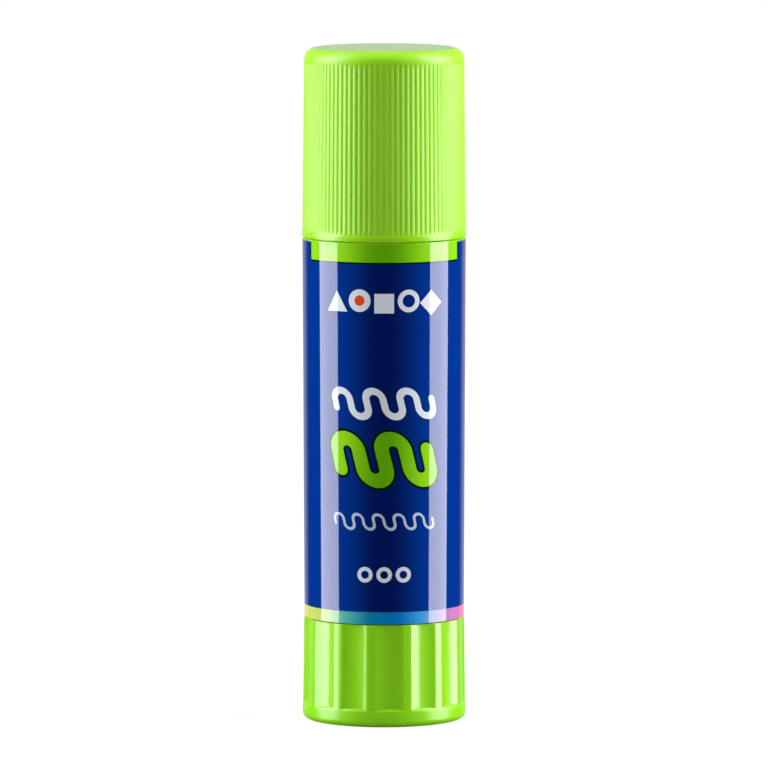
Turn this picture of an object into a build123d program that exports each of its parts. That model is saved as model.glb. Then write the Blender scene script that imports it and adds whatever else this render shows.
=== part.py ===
from build123d import *
import math
import os

# A twist-up glue stick of the 15 g class, closed, standing on its knob.
# Lengths are in millimetres. The origin is the middle of the foot, +Z runs up through the cap,
# and the front of the label faces -Y. Angles called turns are measured from the front towards +X.
#
# How it works: the knob turns a left-hand spindle inside the barrel. A carrier rides on the
# spindle's thread and is kept from turning by keys in the bore, so it lifts the glue. The cap
# slips over the barrel's neck, and a plug inside the cap closes the mouth.

# Heights of the whole stick
knob_height = 14.72
knob_gap = 0.15
skirt_length = 54.62
neck_length = 15.7
cap_gap = 0.05
cap_height = 27.11

# Knob, a fluted cup with a hub in its floor
knob_step = 0.06
knob_draft = 0.15
rim_step = 0.06
rim_height = 2.62
rim_round = 0.45
foot_round = 0.95
foot_ring_width = 2.39
foot_recess_depth = 0.4
flute_count = 14
flute_depth = 0.44
flute_radius = 7.3
flute_turn = 3.65
ridge_round = 1.0
knob_floor = 1.5
knob_slip = 0.1
hub_wall = 1.4

# Spindle, a hexagonal shank, a journal, a thrust collar and a thread
shank_across_flats = 4.6
shank_slip = 0.02
journal_radius = 2.9
journal_slip = 0.1
thrust_gap = 0.15
collar_radius = 4.5
collar_height = 1.05
lead = 4.0
thread_crest_radius = 2.6
thread_root_radius = 1.95
thread_crest_width = 0.8
thread_flank_width = 0.5
thread_slip = 0.12
thread_below_mouth = 6.7
pilot_length = 1.0
pilot_chamfer = 0.4

# Barrel, a bore tube with a floor, and a skirt that hangs from its shoulder
bore_radius = 8.6
tube_wall = 0.95
neck_wall = 1.3
skirt_hollow = 0.97
skirt_wall = 0.85
skirt_flare = 0.25
shoulder_wall = 1.3
shoulder_round = 0.25
web_height = 6.5
web_wall = 1.3
guide_step = 0.4
guide_height = 1.6
guide_below_skirt = 2.0
bead_step = 0.2
bead_height = 1.0
bead_above_shoulder = 4.0
mouth_round = 0.4
key_count = 4
key_width = 1.2
key_depth = 0.35
key_below_mouth = 1.6

# Label, a film wrapped round the skirt with one lapped seam at the back
label_thickness = 0.1
label_below_shoulder = 0.3
seam_turn = 180
seam_width = 4.0
seam_end_margin = 0.02

# Carrier, a cup with a nut in its floor
carrier_gap = 0.3
carrier_slip = 0.15
carrier_floor = 1.2
cup_height = 9.2
cup_wall = 0.75
nut_height = 6.0
nut_radius = 4.2
fin_count = 4
fin_thickness = 0.8
fin_height = 3.5

# Glue, cast in the bore round the spindle and into the carrier
glue_slip = 0.2
cast_gap = 0.02
glue_recess = 1.2
glue_edge_round = 0.5
spindle_slip = 0.2
tip_gap = 0.7

# Cap, ribbed outside, with a stem inside its crown that carries the plug
band_step = 0.08
band_height = 0.95
band_round = 0.2
rib_count = 96
rib_turn = 1.5
rib_step = 0.08
rib_draft = 0.25
rib_depth = 0.15
rib_fade = 0.55
rib_fade_depth = 0.02
crown_round = 1.75
crown_wall = 1.3
cap_slip = 0.1
cap_lead_in = 0.3
stem_inset = 1.4
stem_wall = 1.0

# Plug, pressed on the stem
plug_gap = 0.4
plug_slip = 0.2
plug_wall = 0.8
plug_lead_in = 0.4
plug_seat_gap = 0.05
plug_flange_inset = 0.25
plug_grip = 3.2
press_gap = 0.02

# One overrun carries every cut past the face it opens
overrun = 1.0

# Levels worked out from the foot upwards
skirt_foot = knob_height + knob_gap
shoulder = skirt_foot + skirt_length
mouth = shoulder + neck_length
cap_mouth = shoulder + cap_gap
cap_top = cap_mouth + cap_height
floor_top = foot_recess_depth + knob_floor
web_top = web_height + web_wall
hub_top = web_height - thrust_gap
collar_foot = web_top + thrust_gap
collar_top = collar_foot + collar_height
carrier_foot = collar_top + carrier_gap
deck = carrier_foot + carrier_floor
nut_top = carrier_foot + nut_height
cup_top = carrier_foot + cup_height
thread_top = mouth - thread_below_mouth
spindle_top = thread_top + pilot_length
glue_bore_top = spindle_top + tip_gap
glue_top = mouth - glue_recess
plug_foot = glue_top + plug_gap
plug_floor = plug_foot + plug_wall
flange_foot = mouth + plug_seat_gap
crown_underside = cap_top - crown_wall

# Radii worked out from the bore outwards
tube_radius = bore_radius + tube_wall
guide_radius = tube_radius + guide_step
knob_bore_radius = guide_radius + knob_slip
neck_radius = bore_radius + neck_wall
bead_radius = neck_radius + bead_step
cap_bore_radius = bead_radius + cap_slip
carrier_radius = bore_radius - carrier_slip
cup_radius = carrier_radius - cup_wall
key_tip_radius = bore_radius - key_depth
glue_radius = bore_radius - glue_slip
shank_radius = shank_across_flats / 2
socket_radius = shank_radius + shank_slip
hub_radius = socket_radius / math.cos(math.radians(30)) + hub_wall
plug_radius = bore_radius - plug_slip
stem_radius = plug_radius - stem_inset
plug_socket_radius = stem_radius + press_gap
skirt_foot_radius = tube_radius + skirt_hollow + skirt_wall
skirt_shoulder_radius = skirt_foot_radius + skirt_flare
crest_mouth_radius = skirt_foot_radius + label_thickness + knob_step
crest_foot_radius = crest_mouth_radius + knob_draft
rim_radius = crest_foot_radius + rim_step
foot_recess_radius = rim_radius - foot_round - foot_ring_width
band_radius = skirt_shoulder_radius + label_thickness + band_step
rib_foot_radius = band_radius - rib_step
rib_head_radius = rib_foot_radius - rib_draft


def polar(radius, angle):
    """The point at a radius and an angle from +X, in degrees."""
    return radius * math.cos(math.radians(angle)), radius * math.sin(math.radians(angle))


def front_angle(turn):
    """The angle from +X of a turn measured from the front towards +X."""
    return turn - 90


def thread_section(slip):
    """One slice square to the spindle: a root circle with one raised lobe, grown by slip."""
    crest_half = 180 * thread_crest_width / lead
    root_half = crest_half + 360 * thread_flank_width / lead
    with BuildSketch(Plane.XY) as section:
        with BuildLine():
            ThreePointArc(
                polar(thread_crest_radius, -crest_half),
                polar(thread_crest_radius, 0),
                polar(thread_crest_radius, crest_half),
            )
            Line(polar(thread_crest_radius, crest_half), polar(thread_root_radius, root_half))
            ThreePointArc(
                polar(thread_root_radius, root_half),
                polar(thread_root_radius, 180),
                polar(thread_root_radius, -root_half),
            )
            Line(polar(thread_root_radius, -root_half), polar(thread_crest_radius, -crest_half))
        make_face()
        if slip > 0:
            offset(amount=slip, kind=Kind.INTERSECTION)
    return section.sketch


def thread_core(height, slip):
    """A left-hand thread from the collar upwards, made by turning its slice along the axis.

    The nut is cut with the same thread grown by slip, so that the two are in mesh at rest.
    """
    with BuildLine() as axis:
        Line((0, 0, collar_top), (0, 0, collar_top + height))
    with BuildLine() as guide:
        Helix(lead, height, thread_crest_radius, center=(0, 0, collar_top), lefthand=True)
    with BuildPart() as thread:
        with BuildSketch(Plane.XY.offset(collar_top)):
            add(thread_section(slip))
        sweep(path=axis.wires()[0], binormal=guide.wires()[0])
    return thread.part


def rib_outline(tip_radius, depth):
    """The cap's outline at one height: rounded ribs side by side round the whole turn."""
    step = 360 / rib_count
    valley_radius = tip_radius - depth
    with BuildLine() as outline:
        for i in range(rib_count):
            middle = front_angle(rib_turn) + i * step
            ThreePointArc(
                polar(valley_radius, middle - step / 2),
                polar(tip_radius, middle),
                polar(valley_radius, middle + step / 2),
            )
    return outline.line


def fluted_outline(crest_radius):
    """The knob's outline at one height: a circle with hollow flutes and rounded ridges."""
    with BuildSketch(Plane.XY) as outline:
        Circle(crest_radius)
        with PolarLocations(
            crest_radius - flute_depth + flute_radius, flute_count, front_angle(flute_turn)
        ):
            Circle(flute_radius, mode=Mode.SUBTRACT)
        fillet(outline.vertices(), ridge_round)
    return outline.sketch


# Knob
with BuildPart() as knob:
    with BuildSketch(Plane.XY.offset(rim_height - rim_round)):
        add(fluted_outline(crest_foot_radius))
    with BuildSketch(Plane.XY.offset(knob_height)):
        add(fluted_outline(crest_mouth_radius))
    loft(ruled=True)
    with BuildSketch(Plane.XZ):
        with BuildLine():
            Polyline(
                (0, rim_height),
                (0, 0),
                (rim_radius - foot_round, 0),
            )
            RadiusArc((rim_radius - foot_round, 0), (rim_radius, foot_round), -foot_round)
            Line((rim_radius, foot_round), (rim_radius, rim_height - rim_round))
            RadiusArc(
                (rim_radius, rim_height - rim_round), (rim_radius - rim_round, rim_height), -rim_round
            )
            Line((rim_radius - rim_round, rim_height), (0, rim_height))
        make_face()
    revolve(axis=Axis.Z)
    # the cup's inside
    with BuildSketch(Plane.XY.offset(floor_top)):
        Circle(knob_bore_radius)
    extrude(amount=knob_height - floor_top + overrun, mode=Mode.SUBTRACT)
    # the hub and its hexagonal socket
    with BuildSketch(Plane.XY.offset(floor_top)):
        Circle(hub_radius)
    extrude(amount=hub_top - floor_top)
    with BuildSketch(Plane.XY.offset(floor_top)):
        RegularPolygon(socket_radius, 6, major_radius=False)
    extrude(amount=hub_top - floor_top + overrun, mode=Mode.SUBTRACT)
    # the recess that leaves a ring to stand on
    with BuildSketch(Plane.XY):
        Circle(foot_recess_radius)
    extrude(amount=foot_recess_depth, mode=Mode.SUBTRACT)

# Spindle
with BuildPart() as spindle:
    with BuildSketch(Plane.XY.offset(floor_top)):
        RegularPolygon(shank_radius, 6, major_radius=False)
    extrude(amount=hub_top - floor_top)
    with BuildSketch(Plane.XY.offset(hub_top)):
        Circle(journal_radius)
    extrude(amount=collar_foot - hub_top)
    with BuildSketch(Plane.XY.offset(collar_foot)):
        Circle(collar_radius)
    extrude(amount=collar_height)
    add(thread_core(thread_top - collar_top, 0))
    with BuildSketch(Plane.XY.offset(thread_top)):
        Circle(thread_root_radius)
    extrude(amount=pilot_length)
    chamfer(spindle.edges().filter_by(GeomType.CIRCLE).sort_by(Axis.Z)[-1], pilot_chamfer)

# Barrel
with BuildPart() as barrel:
    journal_hole_radius = journal_radius + journal_slip
    shoulder_underside = shoulder - shoulder_wall
    with BuildSketch(Plane.XZ):
        with BuildLine():
            Polyline(
                (journal_hole_radius, web_height),
                (tube_radius, web_height),
                (tube_radius, shoulder_underside),
                (skirt_shoulder_radius - skirt_wall, shoulder_underside),
                (skirt_foot_radius - skirt_wall, skirt_foot),
                (skirt_foot_radius, skirt_foot),
                (skirt_shoulder_radius, shoulder),
                (neck_radius, shoulder),
                (neck_radius, mouth),
                (bore_radius, mouth),
                (bore_radius, web_top),
                (journal_hole_radius, web_top),
                close=True,
            )
        make_face()
    revolve(axis=Axis.Z)
    mouth_edges = barrel.edges().filter_by(GeomType.CIRCLE).group_by(Axis.Z)[-1]
    fillet(mouth_edges.sort_by(SortBy.LENGTH)[-1], mouth_round)
    shoulder_edges = barrel.edges().filter_by(GeomType.CIRCLE).filter_by_position(
        Axis.Z, shoulder - shoulder_wall / 2, shoulder + shoulder_wall / 2
    )
    fillet(shoulder_edges.sort_by(SortBy.LENGTH)[-1], shoulder_round)
    # the band that centres the tube in the knob
    guide_top = skirt_foot - guide_below_skirt
    with BuildSketch(Plane.XY.offset(guide_top - guide_height)):
        Circle(guide_radius)
        Circle(bore_radius + tube_wall / 2, mode=Mode.SUBTRACT)
    extrude(amount=guide_height)
    # the bead that holds the cap
    bead_middle = shoulder + bead_above_shoulder
    with BuildSketch(Plane.XZ):
        with BuildLine():
            Polyline(
                (neck_radius - neck_wall / 2, bead_middle - bead_height / 2),
                (neck_radius, bead_middle - bead_height / 2),
            )
            ThreePointArc(
                (neck_radius, bead_middle - bead_height / 2),
                (bead_radius, bead_middle),
                (neck_radius, bead_middle + bead_height / 2),
            )
            Polyline(
                (neck_radius, bead_middle + bead_height / 2),
                (neck_radius - neck_wall / 2, bead_middle + bead_height / 2),
                (neck_radius - neck_wall / 2, bead_middle - bead_height / 2),
            )
        make_face()
    revolve(axis=Axis.Z)
    # the keys that stop the carrier from turning
    key_root_radius = bore_radius + tube_wall / 2
    with BuildSketch(Plane.XY.offset(web_top)):
        with PolarLocations((key_tip_radius + key_root_radius) / 2, key_count):
            Rectangle(key_root_radius - key_tip_radius, key_width)
    extrude(amount=mouth - key_below_mouth - web_top)

# Label
with BuildPart() as label:
    label_top = shoulder - label_below_shoulder
    skirt_slope = (skirt_shoulder_radius - skirt_foot_radius) / skirt_length
    label_foot_radius = skirt_foot_radius
    label_top_radius = skirt_foot_radius + skirt_slope * (label_top - skirt_foot)
    with BuildSketch(Plane.XZ):
        with BuildLine():
            Polyline(
                (label_foot_radius, skirt_foot),
                (label_foot_radius + label_thickness, skirt_foot),
                (label_top_radius + label_thickness, label_top),
                (label_top_radius, label_top),
                close=True,
            )
        make_face()
    revolve(axis=Axis.Z)
    # the lapped end of the wrap
    seam_angle = math.degrees(seam_width / skirt_foot_radius)
    seam_start = front_angle(seam_turn) - seam_angle / 2
    seam_plane = Plane(
        origin=(0, 0, 0),
        x_dir=(math.cos(math.radians(seam_start)), math.sin(math.radians(seam_start)), 0),
        z_dir=(math.sin(math.radians(seam_start)), -math.cos(math.radians(seam_start)), 0),
    )
    with BuildSketch(seam_plane):
        with BuildLine():
            Polyline(
                (label_foot_radius + label_thickness / 2, skirt_foot + seam_end_margin),
                (label_foot_radius + 2 * label_thickness, skirt_foot + seam_end_margin),
                (label_top_radius + 2 * label_thickness, label_top - seam_end_margin),
                (label_top_radius + label_thickness / 2, label_top - seam_end_margin),
                close=True,
            )
        make_face()
    revolve(axis=Axis.Z, revolution_arc=seam_angle)

# Carrier
with BuildPart() as carrier:
    with BuildSketch(Plane.XZ):
        with BuildLine():
            Polyline(
                (0, carrier_foot),
                (carrier_radius, carrier_foot),
                (carrier_radius, cup_top),
                (cup_radius, cup_top),
                (cup_radius, deck),
                (nut_radius, deck),
                (nut_radius, nut_top),
                (0, nut_top),
                close=True,
            )
        make_face()
    revolve(axis=Axis.Z)
    # fins that key the glue to the cup
    with BuildSketch(Plane.XY.offset(deck)):
        fin_inner_radius = (thread_crest_radius + nut_radius) / 2
        fin_outer_radius = cup_radius + cup_wall / 2
        with PolarLocations((fin_inner_radius + fin_outer_radius) / 2, fin_count, 180 / fin_count):
            Rectangle(fin_outer_radius - fin_inner_radius, fin_thickness)
    extrude(amount=fin_height)
    # grooves for the keys
    with BuildSketch(Plane.XY.offset(carrier_foot)):
        groove_radius = key_tip_radius - carrier_slip
        with PolarLocations((groove_radius + bore_radius) / 2, key_count):
            Rectangle(bore_radius - groove_radius, key_width + 2 * carrier_slip)
    extrude(amount=cup_height, mode=Mode.SUBTRACT)
    # the thread
    add(thread_core(nut_top - collar_top + lead, thread_slip), mode=Mode.SUBTRACT)

# Glue
with BuildPart() as glue:
    nut_clear_radius = nut_radius + cast_gap
    spindle_clear_radius = thread_crest_radius + spindle_slip
    with BuildSketch(Plane.XZ):
        with BuildLine():
            Polyline(
                (nut_clear_radius, deck),
                (cup_radius - cast_gap, deck),
                (cup_radius - cast_gap, cup_top),
                (glue_radius, cup_top),
                (glue_radius, glue_top),
                (0, glue_top),
                (0, glue_bore_top),
                (spindle_clear_radius, glue_bore_top),
                (spindle_clear_radius, nut_top),
                (nut_clear_radius, nut_top),
                close=True,
            )
        make_face()
    revolve(axis=Axis.Z)
    top_edges = glue.edges().filter_by(GeomType.CIRCLE).group_by(Axis.Z)[-1]
    fillet(top_edges.sort_by(SortBy.LENGTH)[-1], glue_edge_round)
    # grooves left by the keys
    with BuildSketch(Plane.XY.offset(cup_top)):
        glue_groove_radius = key_tip_radius - glue_slip
        with PolarLocations((glue_groove_radius + bore_radius) / 2, key_count):
            Rectangle(bore_radius - glue_groove_radius, key_width + 2 * glue_slip)
    extrude(amount=glue_top - cup_top, mode=Mode.SUBTRACT)
    # slots left by the carrier's fins
    with BuildSketch(Plane.XY.offset(deck)):
        with PolarLocations((cup_radius + nut_radius) / 2, fin_count, 180 / fin_count):
            Rectangle(cup_radius - nut_radius + overrun, fin_thickness)
    extrude(amount=fin_height, mode=Mode.SUBTRACT)

# Cap
with BuildPart() as cap:
    band_top = cap_mouth + band_height
    crown_foot = cap_top - crown_round
    ribs_foot = band_top - band_round
    with BuildSketch(Plane.XY.offset(ribs_foot)):
        add(make_face(rib_outline(rib_foot_radius, rib_fade_depth), mode=Mode.PRIVATE))
    with BuildSketch(Plane.XY.offset(ribs_foot + rib_fade)):
        add(make_face(rib_outline(rib_foot_radius, rib_depth), mode=Mode.PRIVATE))
    with BuildSketch(Plane.XY.offset(crown_foot - rib_fade)):
        add(make_face(rib_outline(rib_head_radius, rib_depth), mode=Mode.PRIVATE))
    with BuildSketch(Plane.XY.offset(crown_foot)):
        add(make_face(rib_outline(rib_head_radius, rib_fade_depth), mode=Mode.PRIVATE))
    loft(ruled=True)
    # the plain band at the mouth, the core behind the ribs and the rounded crown
    core_radius = (cap_bore_radius + rib_head_radius - rib_depth) / 2
    with BuildSketch(Plane.XZ):
        with BuildLine():
            Polyline(
                (0, cap_mouth),
                (band_radius, cap_mouth),
                (band_radius, band_top - band_round),
            )
            RadiusArc(
                (band_radius, band_top - band_round),
                (band_radius - band_round, band_top),
                -band_round,
            )
            Polyline(
                (band_radius - band_round, band_top),
                (core_radius, band_top),
                (core_radius, crown_foot),
                (rib_head_radius, crown_foot),
            )
            RadiusArc(
                (rib_head_radius, crown_foot), (rib_head_radius - crown_round, cap_top), -crown_round
            )
            Polyline((rib_head_radius - crown_round, cap_top), (0, cap_top), (0, cap_mouth))
        make_face()
    revolve(axis=Axis.Z)
    # the inside, with a lead-in at the mouth
    with BuildSketch(Plane.XZ):
        with BuildLine():
            Polyline(
                (0, cap_mouth - overrun),
                (cap_bore_radius + cap_lead_in, cap_mouth - overrun),
                (cap_bore_radius + cap_lead_in, cap_mouth),
                (cap_bore_radius, cap_mouth + cap_lead_in),
                (cap_bore_radius, crown_underside),
                (0, crown_underside),
                close=True,
            )
        make_face()
    revolve(axis=Axis.Z, mode=Mode.SUBTRACT)
    # the stem for the plug
    with BuildSketch(Plane.XY.offset(plug_floor)):
        Circle(stem_radius)
        Circle(stem_radius - stem_wall, mode=Mode.SUBTRACT)
    extrude(amount=crown_underside - plug_floor)

# Plug
with BuildPart() as cap_plug:
    plug_socket_outer = plug_socket_radius + plug_wall
    flange_radius = neck_radius - plug_flange_inset
    flange_top = flange_foot + plug_wall
    socket_top = plug_floor + plug_grip
    with BuildSketch(Plane.XZ):
        with BuildLine():
            Polyline(
                (0, plug_foot),
                (plug_radius - plug_lead_in, plug_foot),
                (plug_radius, plug_foot + plug_lead_in),
                (plug_radius, flange_foot),
                (flange_radius, flange_foot),
                (flange_radius, flange_top),
                (plug_socket_outer, flange_top),
                (plug_socket_outer, socket_top),
                (plug_socket_radius, socket_top),
                (plug_socket_radius, plug_floor),
                (0, plug_floor),
                close=True,
            )
        make_face()
    revolve(axis=Axis.Z)

os.makedirs("parts", exist_ok=True)
pieces = {
    "knob": knob,
    "spindle": spindle,
    "barrel": barrel,
    "label": label,
    "carrier": carrier,
    "glue": glue,
    "cap": cap,
    "cap_plug": cap_plug,
}
for name, piece in pieces.items():
    piece.part.label = name
    export_step(piece.part, f"parts/{name}.step")

travel = thread_top - nut_top
print(f"height {cap_top:.2f}, mouth at {mouth:.2f}, glue top at {glue_top:.2f}")
print(f"glue volume {glue.part.volume:.0f} mm3")
print(f"travel to the thread's end {travel:.2f}, {travel / lead:.2f} turns of the knob")
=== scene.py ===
# %% [markdown]
# # A closed glue stick
# This lesson dresses a twist-up glue stick that stands on its knob: a lime green cap with fine
# ribs, a dark blue wrapped label with a rainbow band, and a lime green fluted knob. The frame
# fixes every size and place, and holds what moves. The pieces that show are modelled again here
# as smooth meshes, because the frame's own are made of small flat facets, and a glossy plastic
# shows each facet in its highlights.

# %% Load the frame
from math import acos, atan2, cos, degrees, hypot, pi, radians, sin, sqrt

import bmesh
import bpy
from mathutils import Matrix, Vector


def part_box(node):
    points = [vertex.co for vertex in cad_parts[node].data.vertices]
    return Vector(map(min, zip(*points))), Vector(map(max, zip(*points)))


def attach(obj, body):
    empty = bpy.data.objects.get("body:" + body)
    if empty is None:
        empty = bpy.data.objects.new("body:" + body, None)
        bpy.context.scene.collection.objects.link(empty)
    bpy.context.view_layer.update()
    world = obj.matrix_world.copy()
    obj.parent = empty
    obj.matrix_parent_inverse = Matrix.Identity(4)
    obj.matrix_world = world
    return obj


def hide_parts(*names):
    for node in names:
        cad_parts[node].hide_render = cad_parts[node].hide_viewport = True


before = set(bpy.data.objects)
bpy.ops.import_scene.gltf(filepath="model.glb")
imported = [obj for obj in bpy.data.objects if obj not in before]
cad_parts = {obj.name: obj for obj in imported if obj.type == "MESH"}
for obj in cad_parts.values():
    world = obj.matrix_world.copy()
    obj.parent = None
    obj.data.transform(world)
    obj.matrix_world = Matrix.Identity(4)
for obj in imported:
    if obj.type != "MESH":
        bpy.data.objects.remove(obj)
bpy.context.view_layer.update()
mm = 0.001
print("nodes:", ", ".join(sorted(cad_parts)))

# %% [markdown]
# ## Where things are
# Every piece of a glue stick is round about the same upright axis, so a place on it is given by a
# turn round the axis, a radius and a height. Turns are counted in degrees from the front of the
# label towards +X. Heights and outer radii are read from the frame's own boxes, so that a piece
# made here can't drift away from the one that it stands for.

# %% Turns, heights and radii
def turn_of(place):
    """The turn of a place round the axis, in degrees, 0 at the front."""
    return degrees(atan2(place.x, -place.y))


def radius_of(place):
    """The distance of a place from the axis."""
    return hypot(place.x, place.y)


def heights(node):
    """The lowest and highest height of a node."""
    low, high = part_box(node)
    return low[2], high[2]


def outer_radius(node):
    """Half of a node's width from side to side."""
    low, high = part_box(node)
    return (high[0] - low[0]) / 2


for name in sorted(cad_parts):
    low, high = heights(name)
    print(f"{name}: {low / mm:.2f} to {high / mm:.2f} mm, radius {outer_radius(name) / mm:.2f}")

# %% [markdown]
# ## Growing a round shell
# A moulded cap or cup could be drawn as a profile and spun, or cut out of a cylinder. Here it is
# grown like a pot on a wheel: a ring of vertices is extruded to the next height and scaled to the
# next radius, again and again, up the outside and down the inside. The ring can be given another
# outline on the way, which is how ribs and flutes start and end, and a spin can't do that.

# %% Selecting by place, and growing rings
def pick(test):
    """Selects, in edit mode, the vertices whose place passes the test."""
    bpy.ops.mesh.select_all(action="DESELECT")
    mesh = bpy.context.edit_object.data
    shape = bmesh.from_edit_mesh(mesh)
    for vertex in shape.verts:
        if test(vertex.co):
            vertex.select_set(True)
    shape.select_flush(True)
    bmesh.update_edit_mesh(mesh)


def pick_numbers(numbers):
    """Selects, in edit mode, the vertices with these numbers."""
    bpy.ops.mesh.select_all(action="DESELECT")
    mesh = bpy.context.edit_object.data
    shape = bmesh.from_edit_mesh(mesh)
    shape.verts.ensure_lookup_table()
    for number in numbers:
        shape.verts[number].select_set(True)
    shape.select_flush(True)
    bmesh.update_edit_mesh(mesh)


def start_ring(name, sides, radius, height, filled):
    """Adds a ring or a filled disc, and leaves its rim selected in edit mode."""
    bpy.ops.object.select_all(action="DESELECT")
    fill = "TRIFAN" if filled else "NOTHING"
    bpy.ops.mesh.primitive_circle_add(
        vertices=sides, radius=radius, fill_type=fill, location=(0, 0, height)
    )
    piece = bpy.context.object
    piece.name = name
    piece.data.name = name
    bpy.ops.object.transform_apply()
    bpy.ops.object.mode_set(mode="EDIT")
    bpy.ops.mesh.select_mode(type="VERT")
    pick(lambda place: radius_of(place) > radius / 2)
    return piece


def grow(outline):
    """Extrudes the selected ring along an outline of (radius, height) places, from its first."""
    for (radius, height), (next_radius, next_height) in zip(outline, outline[1:]):
        rise = (0, 0, next_height - height)
        bpy.ops.mesh.extrude_region_move(TRANSFORM_OT_translate={"value": rise})
        share = next_radius / radius
        bpy.ops.transform.resize(value=(share, share, 1), center_override=(0, 0, 0))


def reshape(wanted):
    """Gives each selected vertex the radius wanted at its place, alike ones together."""
    shape = bmesh.from_edit_mesh(bpy.context.edit_object.data)
    shape.verts.index_update()
    ring = [vertex.index for vertex in shape.verts if vertex.select]
    alike = {}
    for vertex in shape.verts:
        if vertex.select:
            share = round(wanted(vertex.co) / radius_of(vertex.co), 6)
            alike.setdefault(share, []).append(vertex.index)
    for share, numbers in alike.items():
        if share != 1:
            pick_numbers(numbers)
            bpy.ops.transform.resize(value=(share, share, 1), center_override=(0, 0, 0))
    pick_numbers(ring)


def close_pole():
    """Closes the selected ring with faces that meet on the axis."""
    bpy.ops.mesh.extrude_region_move()
    bpy.ops.mesh.merge(type="CENTER")


def round_off(middle_radius, middle_height, radius, start, end, steps):
    """Places on a rounding of the outline, from one angle above the horizontal to another."""
    places = []
    for i in range(steps + 1):
        angle = radians(start + (end - start) * i / steps)
        place = (middle_radius + radius * cos(angle), middle_height + radius * sin(angle))
        places.append(place)
    return places


# %% Finishing a shell
smooth_angle = 35
weld_gap = 0.0005 * mm


def finish_shell(piece):
    """Welds the seams, turns the faces outwards and shades a piece smooth but for its edges."""
    bpy.ops.mesh.select_all(action="SELECT")
    bpy.ops.mesh.remove_doubles(threshold=weld_gap)
    bpy.ops.mesh.normals_make_consistent(inside=False)
    bpy.ops.mesh.select_all(action="DESELECT")
    bpy.ops.object.mode_set(mode="OBJECT")
    bpy.ops.object.shade_smooth_by_angle(angle=radians(smooth_angle))
    piece.modifiers.new("even_shading", "WEIGHTED_NORMAL").keep_sharp = True
    bpy.ops.object.modifier_apply(modifier="even_shading")
    size = piece.dimensions / mm
    count = len(piece.data.polygons)
    print(f"{piece.name}: {count} faces, {size.x:.2f} x {size.y:.2f} x {size.z:.2f} mm")


# %% [markdown]
# ## The cap
# The cap is one moulding: a plain band at its mouth, 96 fine upright ribs that give a dry grip,
# and a rounded crown. Each rib is a low arch and the valleys between them are sharp. Cutting 96
# grooves with a boolean would leave ragged ends. So the rings are given 8 vertices a rib, and each
# ring between band and crown is scaled in towards its valleys, less and less towards the ends.

# %% Cap, its sizes
cap_mouth, cap_top = heights("cap")
band_radius = outer_radius("cap")
band_height = 0.95 * mm
band_round = 0.2 * mm
lip_round = 0.12 * mm
rib_count = 96
rib_sides = 8
rib_turn = 1.5
rib_step = 0.08 * mm
rib_draft = 0.25 * mm
rib_depth = 0.10 * mm
rib_fade = 0.55 * mm
crown_round = 1.75 * mm
crown_wall = 1.3 * mm
cap_bore_radius = 10.2 * mm
cap_lead_in = 0.3 * mm
stem_radius = 7.0 * mm
stem_wall = 1.0 * mm
stem_foot = 85.19 * mm
crown_steps = 12
band_steps = 4
lip_steps = 3
rib_foot_radius = band_radius - rib_step
rib_head_radius = rib_foot_radius - rib_draft
crown_foot = cap_top - crown_round
crown_flat_radius = rib_head_radius - crown_round
band_top = cap_mouth + band_height
band_middle_radius = band_radius - band_round
rib_meets_band = degrees(acos((rib_foot_radius - band_middle_radius) / band_round))
rib_foot = band_top - band_round + band_round * sin(radians(rib_meets_band))


# %% Cap, its crown and ribs
def rib_drop(place):
    """How deep the outline lies under the ribs' crests at a place, 0 to 1."""
    across = (turn_of(place) - rib_turn) * rib_count / 360 % 1
    return (2 * min(across, 1 - across)) ** 2


def rib_radius(height):
    """The radius of the ribs' crests, which lean in a little towards the crown."""
    return rib_foot_radius - rib_draft * (height - rib_foot) / (crown_foot - rib_foot)


cap_shell = start_ring("cap_shell", rib_count * rib_sides, crown_flat_radius, cap_top, True)
crown = round_off(crown_flat_radius, crown_foot, crown_round, 90, 0, crown_steps)
crown[0] = (crown_flat_radius, cap_top)
grow(crown)
radius, height = crown[-1]
fade_shares = (0.15, 0.4, 0.7, 1)
rib_rows = [(crown_foot - rib_fade * share, share) for share in fade_shares]
rib_rows += [(rib_foot + rib_fade * share, share) for share in reversed(fade_shares)]
rib_rows += [(rib_foot, 0)]
for next_height, share in rib_rows:
    grow([(radius, height), (rib_radius(next_height), next_height)])
    radius, height = rib_radius(next_height), next_height
    depth = rib_depth * sin(share * pi / 2) ** 2
    reshape(lambda place: radius - depth * rib_drop(place))
print(f"ribs {2 * pi * radius / rib_count / mm:.3f} mm apart")

# %% Cap, its band and inside
underside = cap_top - crown_wall
band_middle_height = band_top - band_round
lip_middle = (band_radius - lip_round, cap_mouth + lip_round)
band = round_off(band_middle_radius, band_middle_height, band_round, rib_meets_band, 0, band_steps)
lip = round_off(*lip_middle, lip_round, 0, -90, lip_steps)
cap_inside = [
    (cap_bore_radius + cap_lead_in, cap_mouth),
    (cap_bore_radius, cap_mouth + cap_lead_in),
    (cap_bore_radius, underside),
    (stem_radius, underside),
    (stem_radius, stem_foot),
    (stem_radius - stem_wall, stem_foot),
    (stem_radius - stem_wall, underside),
]
grow(band + lip + cap_inside)
close_pole()
finish_shell(cap_shell)

# %% [markdown]
# ## The knob
# The knob is a cup with 14 hollow flutes for the fingers. Their troughs are arcs of a circle, the
# ridges between them are rounded, and they stop on a plain rim that stands proud of the troughs.
# A boolean with 14 cylinders would give the troughs but not the soft ledge. So each ring takes
# the larger of two radii: that of the rim's rounding and that of the fluted outline.

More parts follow.
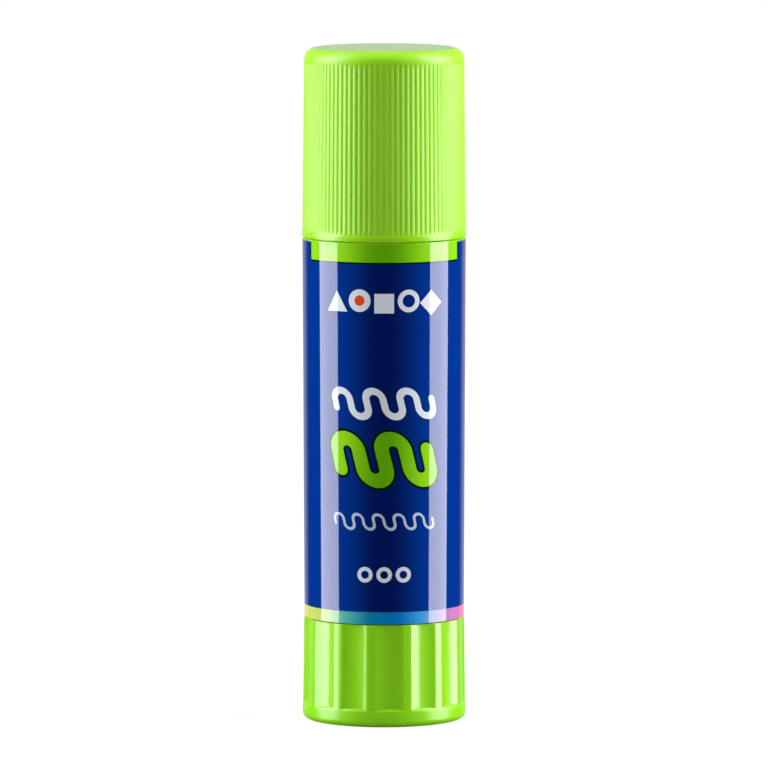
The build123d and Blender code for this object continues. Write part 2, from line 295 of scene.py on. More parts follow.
# %% Knob, its sizes
knob_foot, knob_mouth = heights("knob")
rim_radius = outer_radius("knob")
rim_height = 2.62 * mm
rim_round = 0.45 * mm
ledge_corner = 0.12 * mm
foot_round = 0.95 * mm
foot_recess_radius = 8.4 * mm
foot_recess_depth = 0.4 * mm
crest_foot_radius = 11.68 * mm
crest_mouth_radius = 11.53 * mm
flute_count = 14
flute_sides = 48
flute_depth = 0.44 * mm
flute_radius = 7.3 * mm
flute_turn = 3.65
ridge_round = 1.0 * mm
knob_bore_radius = 10.05 * mm
knob_edge_round = 0.15 * mm
knob_floor_top = 1.9 * mm
hub_radius = 4.08 * mm
hub_top = 6.35 * mm
hub_hole_radius = 2.68 * mm
foot_steps = 12
rim_steps = 8
edge_steps = 3


# %% Knob, its fluted outline
def fluted_radius(place):
    """The radius of the fluted outline in the direction of a place: trough, ridge or crest."""
    pitch = 360 / flute_count
    across = (turn_of(place) - flute_turn) % pitch
    angle = radians(min(across, pitch - across))
    trough_middle = crest_foot_radius - flute_depth + flute_radius
    ridge_middle = crest_foot_radius - ridge_round
    reach = flute_radius + ridge_round
    ridge_angle = acos(
        (trough_middle**2 + ridge_middle**2 - reach**2) / (2 * trough_middle * ridge_middle)
    )
    share = flute_radius / reach
    touch = Vector((trough_middle, 0)).lerp(
        Vector((ridge_middle * cos(ridge_angle), ridge_middle * sin(ridge_angle))), share
    )
    if angle >= ridge_angle:
        return crest_foot_radius
    if angle >= atan2(touch.y, touch.x):
        lean = angle - ridge_angle
        return ridge_middle * cos(lean) + sqrt(ridge_round**2 - (ridge_middle * sin(lean)) ** 2)
    return trough_middle * cos(angle) - sqrt(flute_radius**2 - (trough_middle * sin(angle)) ** 2)


# %% Knob, its foot, rim and flutes
fluted_knob = start_ring(
    "fluted_knob", flute_count * flute_sides, foot_recess_radius, foot_recess_depth, True
)
bpy.ops.mesh.select_all(action="SELECT")
bpy.ops.transform.rotate(
    value=radians(flute_turn), orient_axis="Z", center_override=(0, 0, 0)
)
pick(lambda place: radius_of(place) > foot_recess_radius / 2)
foot = round_off(rim_radius - foot_round, foot_round, foot_round, -90, 0, foot_steps)
rim = round_off(rim_radius - rim_round, rim_height - rim_round, rim_round, 0, 90, rim_steps)
grow([(foot_recess_radius, foot_recess_depth), (foot_recess_radius, knob_foot)] + foot)
radius, height = foot[-1]
for next_radius, next_height in rim:
    grow([(radius, height), (radius, next_height)])
    height = next_height
    reshape(lambda place: max(next_radius, fluted_radius(place)))
grow([(radius, height), (radius, rim_height + ledge_corner)])
reshape(fluted_radius)

# %% Knob, its walls and inside
wall_top = knob_mouth - knob_edge_round
grow([(crest_foot_radius, rim_height + ledge_corner), (crest_mouth_radius, wall_top)])
edge_middle_radius = crest_mouth_radius - knob_edge_round
edge = round_off(edge_middle_radius, wall_top, knob_edge_round, 0, 90, edge_steps)
grow(edge)
grow([edge[-1], edge[-1]])
reshape(lambda place: knob_bore_radius + knob_edge_round)
knob_inside = [
    (knob_bore_radius + knob_edge_round, knob_mouth),
    (knob_bore_radius, wall_top),
    (knob_bore_radius, knob_floor_top),
    (hub_radius, knob_floor_top),
    (hub_radius, hub_top),
    (hub_hole_radius, hub_top),
    (hub_hole_radius, knob_floor_top),
]
grow(knob_inside)
close_pole()
finish_shell(fluted_knob)

# %% [markdown]
# ## The barrel
# The barrel is a tube for the glue inside a skirt that carries the label. Only its shoulder shows
# while the cap is on. With the cap off, its neck shows, with the bead that holds the cap. It is
# round but for four keys in the bore, so it is grown as a plain ring and the keys are scaled in.

# %% Barrel, its sizes
barrel_foot, barrel_mouth = heights("barrel")
round_sides = 360
bore_radius = 8.6 * mm
key_tip_radius = 8.25 * mm
key_half_turn = 4.1
key_top = 83.59 * mm
key_slope = 0.1 * mm
journal_hole_radius = 3.0 * mm
tube_radius = 9.55 * mm
tube_round = 0.3 * mm
guide_radius = 9.95 * mm
guide_foot = 11.27 * mm
guide_top = 12.87 * mm
web_top = 7.8 * mm
skirt_foot = 14.87 * mm
skirt_wall = 0.85 * mm
skirt_foot_radius = 11.37 * mm
shoulder = 69.49 * mm
shoulder_wall = 1.3 * mm
shoulder_round = 0.25 * mm
shoulder_radius = outer_radius("barrel")
neck_radius = 9.9 * mm
bead_radius = 10.1 * mm
bead_foot = 72.99 * mm
bead_height = 1.0 * mm
mouth_round = 0.4 * mm
mouth_inner_round = 0.15 * mm
key_pitch = 360 / 4
bead_steps = 8
tube_steps = 4
shoulder_steps = 5
mouth_steps = 6


# %% Barrel, grown and keyed
def near_key(place, half_turn):
    """Whether a place is within a key's width of one of the four keys."""
    return abs((turn_of(place) + key_pitch / 2) % key_pitch - key_pitch / 2) < half_turn


bead_step = bead_radius - neck_radius
bead = []
for i in range(1, bead_steps + 1):
    share = i / bead_steps
    bead.append((neck_radius + bead_step * sin(pi * share) ** 2, bead_foot + bead_height * share))
tube_middle = (tube_radius - tube_round, barrel_foot + tube_round)
shoulder_middle = (shoulder_radius - shoulder_round, shoulder - shoulder_round)
mouth_middle = (neck_radius - mouth_round, barrel_mouth - mouth_round)
barrel_outline = [(journal_hole_radius, barrel_foot)]
barrel_outline += round_off(*tube_middle, tube_round, -90, 0, tube_steps)
barrel_outline += [
    (tube_radius, guide_foot),
    (guide_radius, guide_foot),
    (guide_radius, guide_top),
    (tube_radius, guide_top),
    (tube_radius, shoulder - shoulder_wall),
    (shoulder_radius - skirt_wall, shoulder - shoulder_wall),
    (skirt_foot_radius - skirt_wall, skirt_foot),
    (skirt_foot_radius, skirt_foot),
]
barrel_outline += round_off(*shoulder_middle, shoulder_round, 0, 90, shoulder_steps)
barrel_outline += [(neck_radius, shoulder), (neck_radius, bead_foot)] + bead
barrel_outline += round_off(*mouth_middle, mouth_round, 0, 90, mouth_steps)
barrel_outline += [
    (bore_radius + mouth_inner_round, barrel_mouth),
    (bore_radius, barrel_mouth - mouth_inner_round),
    (bore_radius, key_top),
    (bore_radius, key_top - key_slope),
    (bore_radius, web_top),
    (journal_hole_radius, web_top),
    (journal_hole_radius, barrel_foot),
]
barrel_shell = start_ring("barrel_shell", round_sides, journal_hole_radius, barrel_foot, False)
grow(barrel_outline)
bore_band = (bore_radius - key_slope, bore_radius + key_slope)
pick(
    lambda place: bore_band[0] < radius_of(place) < bore_band[1]
    and web_top - key_slope < place.z < key_top - key_slope / 2
    and near_key(place, key_half_turn)
)
reshape(lambda place: key_tip_radius)
finish_shell(barrel_shell)

# %% [markdown]
# ## The label
# The label is a printed plastic film, 0.1 mm thick, wrapped round the skirt and stuck to itself in
# one lapped seam at the back. A film is easiest to make from the surface that it lies on: a cone
# that fits the skirt gets its thickness from a Solidify modifier. Then the outer face is lifted
# where the film lies double: softly at one side, and with a sharp step at the film's end.

# %% Label, wrapped and lapped
label_foot, label_top = heights("label")
film = 0.1 * mm
label_top_radius = outer_radius("label") - film
lap_start = 168.0
lap_ramp = 5.0
lap_end = 189.5
lap_margin = 0.02 * mm

bpy.ops.object.select_all(action="DESELECT")
bpy.ops.mesh.primitive_cone_add(
    vertices=round_sides,
    radius1=skirt_foot_radius,
    radius2=label_top_radius,
    depth=label_top - label_foot,
    end_fill_type="NOTHING",
    location=(0, 0, (label_top + label_foot) / 2),
)
wrapped_label = bpy.context.object
wrapped_label.name = "wrapped_label"
wrapped_label.data.name = "wrapped_label"
bpy.ops.object.transform_apply()
thickness = wrapped_label.modifiers.new("film", "SOLIDIFY")
thickness.thickness = film
thickness.offset = 1
bpy.ops.object.modifier_apply(modifier="film")


def film_radius(place):
    """The radius of the skirt at the height of a place."""
    share = (place.z - label_foot) / (label_top - label_foot)
    return skirt_foot_radius + share * (label_top_radius - skirt_foot_radius)


def lap_lift(place):
    """How much of one film's thickness the seam lifts the outer face at a place."""
    share = min(max((turn_of(place) % 360 - lap_start) / lap_ramp, 0), 1)
    return sin(share * pi / 2) ** 2


bpy.ops.object.mode_set(mode="EDIT")
bpy.ops.mesh.select_mode(type="VERT")
pick(
    lambda place: radius_of(place) > film_radius(place) + film / 2
    and lap_start < turn_of(place) % 360 < lap_end
)
reshape(lambda place: film_radius(place) + film + (film - lap_margin) * lap_lift(place))
finish_shell(wrapped_label)

# %% [markdown]
# ## The glue
# The glue is a soap-like stick, cast into the carrier round the spindle. It is hidden until the
# knob raises it. Its edge is a little rounded, and the four keys of the bore leave a groove each
# down its side. It is grown from its blind bore outwards, and the grooves are scaled in.

# %% Glue, grown and grooved
glue_foot, glue_top = heights("glue")
glue_radius = 8.4 * mm
glue_round = 0.5 * mm
glue_cup_radius = 7.68 * mm
glue_cup_top = 18.5 * mm
glue_nut_radius = 4.22 * mm
glue_nut_top = 15.3 * mm
glue_bore_radius = 2.8 * mm
glue_bore_top = 80.19 * mm
groove_radius = 8.05 * mm
groove_half_turn = 5.6

glue_outline = [
    (glue_bore_radius, glue_bore_top),
    (glue_bore_radius, glue_nut_top),
    (glue_nut_radius, glue_nut_top),
    (glue_nut_radius, glue_foot),
    (glue_cup_radius, glue_foot),
    (glue_cup_radius, glue_cup_top),
    (glue_radius, glue_cup_top),
]
glue_middle = (glue_radius - glue_round, glue_top - glue_round)
glue_outline += round_off(*glue_middle, glue_round, 0, 90, mouth_steps)
glue_stick = start_ring("glue_stick", round_sides, glue_bore_radius, glue_bore_top, True)
grow(glue_outline)
close_pole()
pick(lambda place: radius_of(place) > groove_radius and near_key(place, groove_half_turn))
reshape(lambda place: groove_radius)
finish_shell(glue_stick)

# %% [markdown]
# ## Shader maths as sentences
# A finish is a net of small nodes. Drawn by hand it is quick to start and slow to read. Here one
# class wraps what comes out of a node, so that a sum of two such values adds the Math node that
# does it, and a mask can be written as one line. Every other node comes from one method, which
# takes the node's type, its settings and what goes into its sockets.

# %% A value that can be added, and a net of nodes
class Value:
    """A number that comes out of a node. Sums and products of it add Math nodes."""

    def __init__(self, net, socket):
        self.net = net
        self.socket = socket

    def __add__(self, other):
        return self.net.math("ADD", self, other)

    def __sub__(self, other):
        return self.net.math("SUBTRACT", self, other)

    def __mul__(self, other):
        return self.net.math("MULTIPLY", self, other)

    def __truediv__(self, other):
        return self.net.math("DIVIDE", self, other)

    def __radd__(self, other):
        return self.net.math("ADD", other, self)

    def __rsub__(self, other):
        return self.net.math("SUBTRACT", other, self)

    def __rmul__(self, other):
        return self.net.math("MULTIPLY", other, self)

    def __abs__(self):
        return self.net.math("ABSOLUTE", self)

    def at_least(self, other):
        return self.net.math("MAXIMUM", self, other)

    def over(self, other):
        return self.net.math("GREATER_THAN", self, other)


class Net:
    """The nodes of a material or of the world."""

    def __init__(self, tree):
        self.tree = tree

    def node(self, kind, settings, inputs, output=0):
        """Adds a node, makes its settings, then feeds its sockets with values or links."""
        node = self.tree.nodes.new("ShaderNode" + kind)
        for name, setting in settings.items():
            if name == "stops":
                self.fill_ramp(node.color_ramp, setting)
            else:
                setattr(node, name, setting)
        for name, value in inputs.items():
            self.feed(node.inputs[name], value)
        return Value(self, node.outputs[output])

    def fill_ramp(self, ramp, stops):
        """Gives a colour ramp its stops, each a place from 0 to 1 and a colour."""
        while len(ramp.elements) < len(stops):
            ramp.elements.new(1)
        for element, (place, colour) in zip(ramp.elements, stops):
            element.position = place
            element.color = colour

    def feed(self, socket, value):
        """Links a value to a socket, or sets the socket to a plain number or colour."""
        if isinstance(value, Value):
            self.tree.links.new(value.socket, socket)
        else:
            socket.default_value = value

    def math(self, operation, first, second=0.0, clamp=False):
        settings = {"operation": operation, "use_clamp": clamp}
        return self.node("Math", settings, {0: first, 1: second})

    def mix(self, share, first, second):
        """A colour between two colours."""
        inputs = {0: share, 6: first, 7: second}
        return self.node("Mix", {"data_type": "RGBA"}, inputs, output=2)

    def step(self, value, start, end):
        """Rises smoothly from 0 to 1 while a value goes from start to end."""
        settings = {"interpolation_type": "SMOOTHSTEP"}
        return self.node("MapRange", settings, {0: value, 1: start, 2: end})

    def noise(self, place, scale, detail=2.0):
        inputs = {"Vector": place, "Scale": scale, "Detail": detail}
        return self.node("TexNoise", {}, inputs)


# %% A finish, and the places that it reads
class Finish(Net):
    """A material with one Principled shader, made ready for what varies over the surface."""

    def __init__(self, name, **constants):
        self.material = bpy.data.materials.new(name)
        self.material.use_nodes = True
        super().__init__(self.material.node_tree)
        self.shader = self.tree.nodes["Principled BSDF"]
        for socket, value in constants.items():
            self.shader.inputs[socket.replace("_", " ")].default_value = value
        self.place = self.node("TexCoord", {}, {}, output="Object")
        self.x = self.node("SeparateXYZ", {}, {0: self.place}, output=0)
        self.y = self.node("SeparateXYZ", {}, {0: self.place}, output=1)
        self.z = self.node("SeparateXYZ", {}, {0: self.place}, output=2)

    def set(self, **inputs):
        """Feeds the shader's own sockets."""
        for socket, value in inputs.items():
            self.feed(self.shader.inputs[socket.replace("_", " ")], value)

    def bump(self, height, distance):
        """The normal of a surface that is raised by height times distance."""
        return self.node("Bump", {}, {"Height": height, "Distance": distance})

    def put_on(self, *pieces):
        for piece in pieces:
            piece.data.materials.clear()
            piece.data.materials.append(self.material)


# %% [markdown]
# ## Lime green plastic
# Cap, knob and barrel are moulded in opaque lime green plastic. Light spreads on it in two ways:
# the plastic itself is satin and gives a wide soft glow, and where the mould was polished a mirror
# image lies over that. How sharp that image is can't change within one shader, so there are two
# finishes: knob and barrel have a sharp one, and the ribbed cap has a blurred one. Moulded plastic
# is never quite even either: its colour drifts where the melt flowed, and a very low ripple bends
# the reflections, less on the cap, so that its fine ribs stay straight. So masks by height set how
# much polish there is, and noises of different sizes feed colour, roughness and bump, all faintly.

# %% Green plastic of knob and barrel
knob_greens = (0.282, 0.715, 0.0005, 1), (0.312, 0.775, 0.001, 1)
green_shine = 0.7
sink_weight = 0.6
sink_radius = (0.9, 1.0, 0.3)
sink_depth = 0.9 * mm
satin = 0.30
satin_drift = 0.06
knob_blur = 0.07
knob_polish = 0.50
polish_least = 0.08
drift_scale = 110
drift_detail = 3.0
cloud_scale = 420
cloud_detail = 4.0
ripple_scale = 260
knob_ripple = 0.0025 * mm


def green_finish(name, greens, blur, ripple):
    """The green plastic: a colour that drifts between two greens, and a faint ripple."""
    finish = Finish(
        name,
        IOR=1.5,
        Specular_IOR_Level=green_shine,
        Subsurface_Weight=sink_weight,
        Subsurface_Radius=sink_radius,
        Subsurface_Scale=sink_depth,
        Coat_Roughness=blur,
        Coat_IOR=1.5,
    )
    drift = finish.noise(finish.place, drift_scale, drift_detail)
    finish.set(
        Base_Color=finish.mix(drift, *greens),
        Normal=finish.bump(finish.noise(finish.place, ripple_scale), ripple),
    )
    return finish


green = green_finish("green_plastic", knob_greens, knob_blur, knob_ripple)
cloud = green.noise(green.place, cloud_scale, cloud_detail)
above_rim = green.step(green.z, rim_height - rim_round, rim_height)
green.set(
    Roughness=satin + satin_drift * cloud,
    Coat_Weight=polish_least + above_rim * (knob_polish - polish_least),
)
green.put_on(fluted_knob, barrel_shell)
print(f"{green.material.name}: {len(green.tree.nodes)} nodes")

# %% Green plastic of the cap
cap_greens = (0.335, 0.725, 0.0005, 1), (0.362, 0.780, 0.001, 1)
cap_blur = 0.34
cap_ripple = 0.0008 * mm
top_edge = 0.15 * mm
top_satin = 0.09
top_drift = 0.04
top_polish = 0.62
rib_satin = 0.42
rib_polish = 0.55
band_satin = 0.22
band_polish = 0.35
crown_satin = 0.33
ribbed = green_finish("green_ribbed_plastic", cap_greens, cap_blur, cap_ripple)
cloud = ribbed.noise(ribbed.place, cloud_scale, cloud_detail)
on_band = 1 - ribbed.step(ribbed.z, band_top - band_round, rib_foot + rib_fade)
on_crown = ribbed.step(ribbed.z, crown_foot - rib_fade, crown_foot)
on_top = ribbed.step(ribbed.z, cap_top - top_edge, cap_top)
on_ribs = 1 - on_band - on_crown
ribbed.set(
    Roughness=top_satin
    + top_drift * cloud
    + on_band * band_satin
    + on_ribs * rib_satin
    + (on_crown - on_top) * crown_satin,
    Coat_Weight=polish_least
    + on_band * (band_polish - polish_least)
    + on_ribs * (rib_polish - polish_least)
    + on_top * top_polish,
)
ribbed.put_on(cap_shell)
print(f"{ribbed.material.name}: {len(ribbed.tree.nodes)} nodes")

# %% [markdown]
# ## The label's print
# The print is drawn from the place on the film: the turn times the radius gives the length round
# the label, and the height is the height. Each motif is a distance in millimetres from its edge,
# and ink is where that distance is below zero. The words of the real label are left bare or stand
# as plain motifs of like colour and size: shapes, squiggles of glue and rings. Blue and lime carry
# painted shade: they are painted darker at the front than at the sides, where the softboxes light
# the film, so each is a mix of a shaded and a lit copy by the turn.

# %% Inks and the ground
# Blue and lime each come in two copies: a lit one for the sides and a darker one for the front,
# which is painted shade.
blue_painted_lit = (0.0004, 0.0330, 0.270, 1)
blue_painted_shade = (0.0001, 0.0095, 0.112, 1)
blue_shade = (0.0001, 0.0060, 0.060, 1)
white_ink = (0.74, 0.78, 0.85, 1)
pale_ink = (0.50, 0.56, 0.72, 1)
lime_painted_lit = (0.27, 0.66, 0.012, 1)
lime_painted_shade = (0.125, 0.440, 0.002, 1)
trap_ink = (0.0, 0.010, 0.006, 1)
red_ink = (0.80, 0.075, 0.012, 1)
ink_edge = 0.05
# The turn from the front at which the painted shade of blue and lime has given way to the lit
# copy.
painted_shade_half_turn = 34
mottle_share = 0.12
mottle_scale = 900
mottle_detail = 4.0

label = Finish("label_film", IOR=1.5, Specular_IOR_Level=0.5)
turn = label.math("ARCTAN2", label.x, label.y * -1)
along = turn * (label_top_radius / mm)
up = label.z / mm


def ink(distance):
    """1 inside a motif and 0 outside, with an edge as wide as a print's."""
    return label.math("ADD", distance * (-1 / ink_edge), 0.5, clamp=True)


mottle = label.noise(label.place, mottle_scale, mottle_detail)
# Painted shade: 0 at the front and 1 towards the sides. It mixes blue and lime from their darker
# front copies to their lit side copies.
painted_side_light = label.step(abs(turn), 0.0, radians(painted_shade_half_turn))
blue = label.mix(painted_side_light, blue_painted_shade, blue_painted_lit)
lime = label.mix(painted_side_light, lime_painted_shade, lime_painted_lit)
print_colour = label.mix(mottle_share * mottle, blue, blue_shade)

# %% Shapes, squiggles and rings
slant = 0.25
end_share = 0.75


def squiggle(middle, pitch, straight, lines, stroke):
    """The distance to a line laid to and fro, as glue from a nozzle, with round turns."""
    rise = up - middle
    run = along + rise * slant
    reach = pitch * (lines - 1) / 2
    side = label.math("SIGN", rise)
    above = (abs(rise) - straight).at_least(0)
    steps = (run + reach - side * (pitch / 2)) / (2 * pitch)
    offset = (steps - label.math("ROUND", steps)) * (2 * pitch)
    turns = abs(label.math("SQRT", offset * offset + above * above) - pitch / 2)
    beyond = abs(run) - reach
    ends = label.math("SQRT", beyond * beyond + above * above)
    free = (run * side).over(reach - pitch / 2) if lines % 2 else beyond.over(-pitch / 2)
    bead = turns + free * (ends - turns)
    return (bead - stroke / 2).at_least(beyond - end_share * stroke)


def disc(across, middle, radius):
    """The distance to a disc."""
    run = along - across
    rise = up - middle
    return label.math("SQRT", run * run + rise * rise) - radius


def ring(across, middle, radius, stroke):
    """The distance to a line of this stroke that runs round a circle."""
    return abs(disc(across, middle, radius)) - stroke / 2


def square(across, middle, half):
    """The distance to a square."""
    return abs(along - across).at_least(abs(up - middle)) - half


def diamond(across, middle, half):
    """The distance to a square that stands on its corner."""
    return (abs(along - across) + abs(up - middle)) * sqrt(0.5) - half


def triangle(across, middle, half):
    """The distance to a triangle that points up."""
    rise = up - middle
    slope = radians(30)
    return (abs(along - across) * cos(slope) + rise * sin(slope)).at_least(rise * -1) - half


def lay(colour, distance, ink_colour):
    """Prints a motif over a colour."""
    return label.mix(ink(distance), colour, ink_colour)


# %% The motifs of the label
shapes_pitch = 3.55
disc_middle = 61.25
ring_pitch = 2.8
bead_trap = 0.35
for distance in (
    triangle(-2 * shapes_pitch, middle=60.60, half=0.98),
    disc(-shapes_pitch, disc_middle, radius=1.62),
    square(0, middle=60.85, half=1.4),
    ring(shapes_pitch, middle=61.20, radius=1.27, stroke=0.70),
    diamond(2 * shapes_pitch, middle=60.85, half=1.3),
    squiggle(middle=46.5, pitch=2.45, straight=0.6, lines=7, stroke=1.0),
    ring(-ring_pitch, middle=22.0, radius=0.85, stroke=0.56),
    ring(0, middle=22.0, radius=0.85, stroke=0.56),
    ring(ring_pitch, middle=22.0, radius=0.85, stroke=0.56),
):
    print_colour = lay(print_colour, distance, white_ink)
lime_bead = squiggle(middle=38.5, pitch=3.4, straight=1.3, lines=5, stroke=2.05)
pale_bead = squiggle(middle=29.6, pitch=1.5, straight=0.3, lines=11, stroke=0.4)
print_colour = lay(print_colour, disc(-shapes_pitch, disc_middle, radius=0.75), red_ink)
print_colour = lay(print_colour, lime_bead - bead_trap, trap_ink)
print_colour = lay(print_colour, lime_bead, lime)
print_colour = lay(print_colour, pale_bead, pale_ink)
print(f"{label.material.name}: {len(label.tree.nodes)} nodes so far")

# %% The tab at the top and the rainbow band
tab_half_turn = 62.6
tab_foot = 66.69
trap_width = 0.25
band_height_up = 16.62
rainbow = (
    (0.00, (0.80, 0.16, 0.03, 1)),
    (0.14, (0.86, 0.42, 0.04, 1)),
    (0.28, (0.72, 0.72, 0.09, 1)),
    (0.37, (0.42, 0.62, 0.16, 1)),
    (0.42, (0.09, 0.44, 0.40, 1)),
    (0.47, (0.003, 0.24, 0.42, 1)),
    (0.53, (0.002, 0.19, 0.58, 1)),
    (0.58, (0.05, 0.34, 0.72, 1)),
    (0.63, (0.38, 0.22, 0.52, 1)),
    (0.70, (0.76, 0.20, 0.44, 1)),
    (0.82, (0.84, 0.12, 0.16, 1)),
    (1.00, (0.80, 0.16, 0.03, 1)),
)
tab_half_length = radians(tab_half_turn) * label_top_radius / mm
tab = (abs(along) - tab_half_length).at_least(tab_foot - up)
print_colour = lay(print_colour, tab - trap_width, trap_ink)
print_colour = lay(print_colour, tab, lime)
around = turn / (2 * pi) + 0.5
band_colour = label.node("ValToRGB", {"stops": rainbow}, {0: around})
print_colour = lay(print_colour, up - band_height_up, band_colour)

# %% The film over the print
film_roughness = 0.03
polish_scale = 160
polish_detail = 3.0
film_ripple_scale = 70
film_ripple_detail = 1.0
film_ripple_height = 0.004 * mm
film_polish = label.noise(label.place, polish_scale, polish_detail)
film_ripple = label.noise(label.place, film_ripple_scale, film_ripple_detail)
label.set(
    Base_Color=print_colour,
    Roughness=film_roughness + film_roughness * film_polish,
    Normal=label.bump(film_ripple, film_ripple_height),
)
label.put_on(wrapped_label)

# %% [markdown]
# ## The pieces inside
# Spindle and carrier are plain undyed plastic, milky and a little matt. The plug in the cap is a
# softer one. They keep the frame's meshes, because they show only through the mouth or from below,
# and get finishes of their own. The glue is a waxy off-white paste: light sinks into it a little,
# and faint streaks run up its side from the mould.

# %% Milky plastic and plug
milky_depth = 1.2 * mm
milky_weight = 0.15
milky_drift_scale = 240
milky_cloud = 0.08
milky_cloud_scale = 700
milky_grain_scale = 1500
milky_grain_height = 0.004 * mm


def milky(name, colour, shade, roughness):
    """An undyed plastic that lets a little light in."""
    sink = {"Subsurface_Weight": milky_weight, "Subsurface_Scale": milky_depth}
    finish = Finish(name, IOR=1.5, **sink)
    drift = finish.noise(finish.place, milky_drift_scale, drift_detail)
    cloud = finish.noise(finish.place, milky_cloud_scale)
    grain = finish.noise(finish.place, milky_grain_scale)
    finish.set(
        Base_Color=finish.mix(drift, shade, colour),
        Roughness=roughness + milky_cloud * cloud,
        Normal=finish.bump(grain, milky_grain_height),
    )
    return finish


natural = milky("natural_plastic", (0.74, 0.75, 0.71, 1), (0.66, 0.67, 0.62, 1), 0.28)
plug = milky("plug_plastic", (0.78, 0.79, 0.77, 1), (0.70, 0.71, 0.68, 1), 0.34)
natural.put_on(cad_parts["spindle"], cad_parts["carrier"])
plug.put_on(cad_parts["cap_plug"])
for finish in (natural, plug):
    print(f"{finish.material.name}: {len(finish.tree.nodes)} nodes")

# %% The glue's paste
paste_pale = (0.80, 0.80, 0.76, 1)
paste_dark = (0.70, 0.69, 0.63, 1)
paste_depth = 1.5 * mm
paste_weight = 0.35
paste_roughness = 0.30
smear_share = 0.16
smear_scale = 500
streak_scale = 900
streak_detail = 4.0
streak_squash = (1, 1, 0.06)
paste_grain_scale = 350
paste_grain_height = 0.012 * mm
paste = Finish(
    "glue_paste", IOR=1.45, Subsurface_Weight=paste_weight, Subsurface_Scale=paste_depth
)
streaks = paste.node("Mapping", {}, {"Vector": paste.place, "Scale": streak_squash})
streak = paste.noise(streaks, streak_scale, streak_detail)
smear = paste.noise(paste.place, smear_scale, drift_detail)
grain = paste.noise(paste.place, paste_grain_scale)
paste.set(
    Base_Color=paste.mix(streak, paste_dark, paste_pale),
    Roughness=paste_roughness + smear_share * smear,
    Normal=paste.bump(streak + grain, paste_grain_height),
)
paste.put_on(glue_stick)
print(f"{paste.material.name}: {len(paste.tree.nodes)} nodes")

# %% [markdown]
# ## What carries what
# Each modelled piece stands for one node of the frame and moves with the same body, so the knob
# turns with its spindle, the glue rises with its carrier, and the cap lifts off with its plug.

# %% Bodies, nodes and slots
rides = (
    (cap_shell, "closure", "cap", "green_plastic"),
    (fluted_knob, "turner", "knob", "green_plastic"),
    (barrel_shell, "barrel", "barrel", "barrel_plastic"),
    (wrapped_label, "barrel", "label", "label_film"),
    (glue_stick, "lifter", "glue", "glue_paste"),
)
for piece, body, node, slot in rides:
    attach(piece, body)
    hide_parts(node)
    print(f"{piece.name} rides on {body} and stands for {node}")

# %% [markdown]
# ## Floor and surroundings
# The stick stands on a plain white floor before a white backdrop. The floor is a real surface that
# takes the stick's shadow. The camera sees it mostly as white, by way of Light Path, and further
# out as white alone, so that no horizon shows. What the gloss of the stick mirrors is the room:
# white behind the stick and dim towards the camera, as in a studio.

# %% The floor
floor_radius = 0.8
floor_sides = 96
floor_glow = 1.04
shadow_share = 0.22
shadow_start = 0.10
shadow_end = 0.32
floor_grey = (0.35, 0.35, 0.35, 1)
white = (1, 1, 1, 1)

bpy.ops.object.select_all(action="DESELECT")
bpy.ops.mesh.primitive_circle_add(
    vertices=floor_sides, radius=floor_radius, fill_type="TRIFAN"
)
floor = bpy.context.object
floor.name = "floor"
floor.visible_glossy = False
paint = bpy.data.materials.new("floor_paint")
paint.use_nodes = True
floor_net = Net(paint.node_tree)
output = floor_net.tree.nodes["Material Output"]
floor_net.tree.nodes.remove(floor_net.tree.nodes["Principled BSDF"])
floor_place = floor_net.node("TexCoord", {}, {}, output="Object")
distance = floor_net.node("VectorMath", {"operation": "LENGTH"}, {0: floor_place}, output=1)
camera_ray = floor_net.node("LightPath", {}, {}, output="Is Camera Ray")
glow = floor_net.node("Emission", {}, {"Color": white, "Strength": floor_glow})
bounce = floor_net.node("BsdfDiffuse", {}, {"Color": floor_grey})
seen = floor_net.node("BsdfDiffuse", {}, {"Color": white})
shadow = shadow_share * (1 - floor_net.step(distance, shadow_start, shadow_end))
seen_floor = floor_net.node("MixShader", {}, {0: shadow, 1: glow, 2: seen})
floor_shader = floor_net.node("MixShader", {}, {0: camera_ray, 1: bounce, 2: seen_floor})
floor_net.feed(output.inputs["Surface"], floor_shader)
floor.data.materials.append(paint)
print(f"floor {2 * floor_radius:.1f} m across, its shadow ends {shadow_end:.2f} m out")

# %% The room
room_dim = 0.006
backdrop = 0.52
backdrop_edge = (0.72, 0.90)
ceiling = 0.26
ceiling_edge = (0.62, 0.90)
soft_fill = 0.10
world = bpy.data.worlds.new("studio")
bpy.context.scene.world = world
world.use_nodes = True
room = Net(world.node_tree)
sky = room.tree.nodes["Background"]
direction = room.node("TexCoord", {}, {}, output="Generated")
back = room.node("SeparateXYZ", {}, {0: direction}, output=1)
high = room.node("SeparateXYZ", {}, {0: direction}, output=2)
behind = room.step(back, *backdrop_edge)
overhead = room.step(high, *ceiling_edge)
mirrored = (room_dim + behind * backdrop).at_least(overhead * ceiling)
seen_ray = room.node("LightPath", {}, {}, output="Is Camera Ray")
diffuse_ray = room.node("LightPath", {}, {}, output="Is Diffuse Ray")
light = mirrored.at_least(diffuse_ray * soft_fill)
room.feed(sky.inputs["Strength"], light.at_least(seen_ray))
sky.inputs["Color"].default_value = white
print(f"the gloss mirrors a room from {room_dim} to {backdrop} bright")

# %% [markdown]
# ## Light
# Two tall softboxes stand left and right of the stick, and lean back at the top. Their mirror
# images are the two bright strips down the label and the knob. An area light shows in a gloss as
# it is: a flat bright rectangle. Its power follows from its size and the brightness wanted. They
# leave the middle of the stick dark, so a third lamp in front lights its matt colours. A photo
# studio would bounce light off a wall for this. Here the lamp is hidden from the gloss.

# %% The softboxes
box_distance = 0.9
box_width = 0.55
box_foot = -0.32
box_top = 1.62
box_lean = 8
left_foot_y = -0.059
left_brightness = 7.8
right_foot_y = -0.083
right_brightness = 8.4


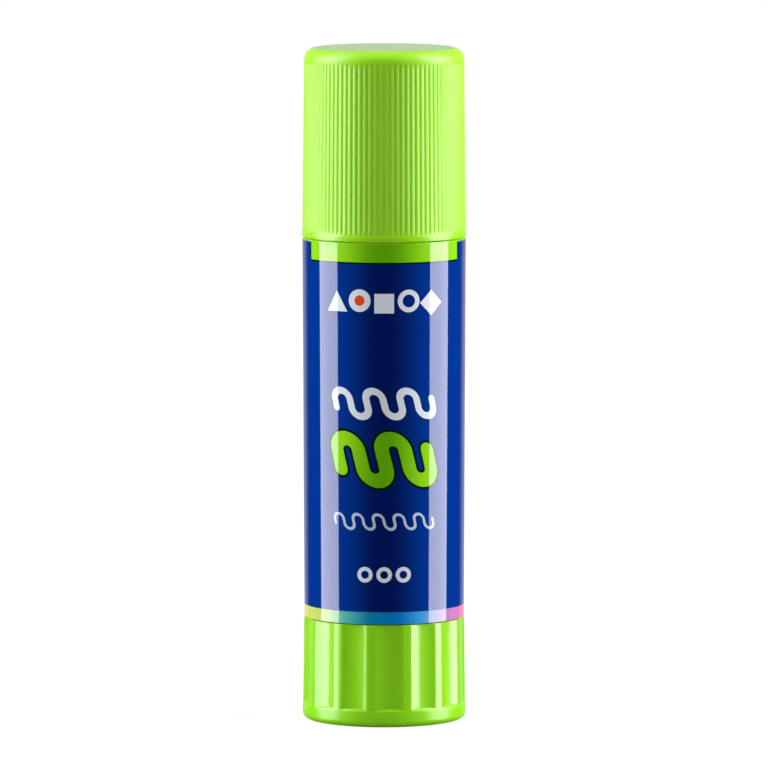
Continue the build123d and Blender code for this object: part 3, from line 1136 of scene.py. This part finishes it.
def softbox(name, side, foot_y, brightness):
    """A tall area light in the plane at one side, leaning back by its top."""
    lean = radians(box_lean)
    long_axis = Vector((0, sin(lean), cos(lean)))
    short_axis = Vector((0, cos(lean), -sin(lean))) * side
    length = (box_top - box_foot) / cos(lean)
    middle = Vector((side * box_distance, foot_y, 0)) + long_axis * (
        (box_foot + box_top) / 2 / cos(lean)
    )
    lamp = bpy.data.lights.new(name, "AREA")
    lamp.shape = "RECTANGLE"
    lamp.size = box_width
    lamp.size_y = length
    lamp.energy = brightness * pi * box_width * length
    holder = bpy.data.objects.new(name, lamp)
    bpy.context.scene.collection.objects.link(holder)
    turned = Matrix((short_axis, long_axis, Vector((side, 0, 0)))).transposed()
    holder.matrix_world = Matrix.Translation(middle) @ turned.to_4x4()
    holder.visible_camera = False
    print(f"{name}: {lamp.energy:.1f} W")


softbox("softbox_right", 1, right_foot_y, right_brightness)
softbox("softbox_left", -1, left_foot_y, left_brightness)

# %% The front fill
fill_rise = 20
fill_distance = 1.5
fill_size = 1.0
fill_share = 0.157
lamp = bpy.data.lights.new("front_fill", "AREA")
lamp.shape = "SQUARE"
lamp.size = fill_size
lamp.energy = fill_share * pi**2 * fill_distance**2
holder = bpy.data.objects.new("front_fill", lamp)
bpy.context.scene.collection.objects.link(holder)
rise = radians(fill_rise)
holder.location = (0, -fill_distance * cos(rise), fill_distance * sin(rise))
holder.rotation_euler = (pi / 2 - rise, 0, 0)
holder.visible_camera = False
holder.visible_glossy = False
print(f"front_fill: {lamp.energy:.1f} W")

# %% [markdown]
# ## Camera
# The photograph was taken from a little above with a long lens, so the stick hardly narrows
# towards its foot. The camera stands 1.2 m away and looks down by less than six degrees.

# %% The camera and the view
eye = Vector((-0.02, -1217.67, 168.97)) * mm
aim = Vector((-0.02, 0, 48.23)) * mm
lens = 399.33
sensor = 36
gaze = (aim - eye).to_track_quat("-Z", "Y").to_euler()
bpy.ops.object.camera_add(location=eye, rotation=gaze)
camera = bpy.context.object
camera.data.lens = lens
camera.data.sensor_width = sensor
bpy.context.scene.camera = camera
bpy.context.scene.view_settings.view_transform = "Standard"
